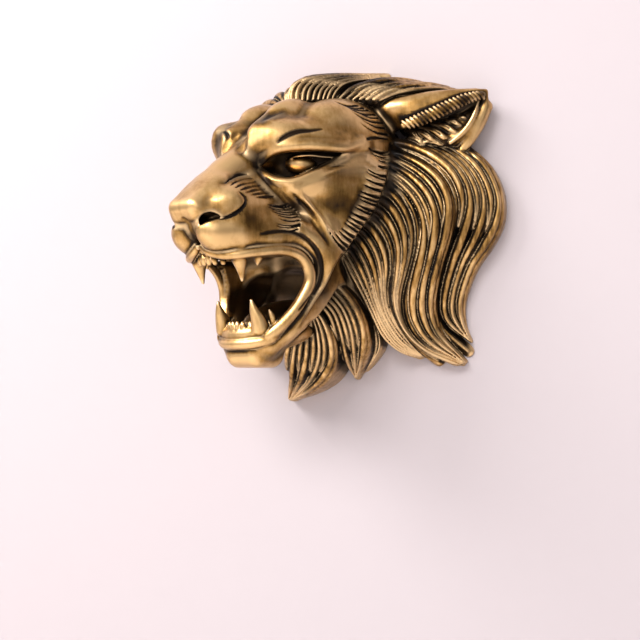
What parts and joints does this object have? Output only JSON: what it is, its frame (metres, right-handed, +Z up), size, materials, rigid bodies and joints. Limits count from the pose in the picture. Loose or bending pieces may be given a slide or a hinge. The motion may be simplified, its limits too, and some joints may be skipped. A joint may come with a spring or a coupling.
{
  "type": "lion head wall mask",
  "caption": "Snarling lion head in high relief with an open mouth, swept mane and flat back, cast in brass to hang on a wall",
  "frame": {"origin": "on the flat back, at the middle of the mask behind the cheek, where it meets the wall", "axes": "+Z up, +Y into the wall (the outward normal of the flat back), +X to the right as one faces the wall; the relief comes out along -Y"},
  "size_m": [0.3786, 0.2666, 0.4246],
  "materials": {
    "antique_brass": "antique brass, dark in the hollows and rubbed bright on the high places"
  },
  "bodies": {
    "root": {"lion_head_mask": "antique_brass"}
  },
  "joints": []
}
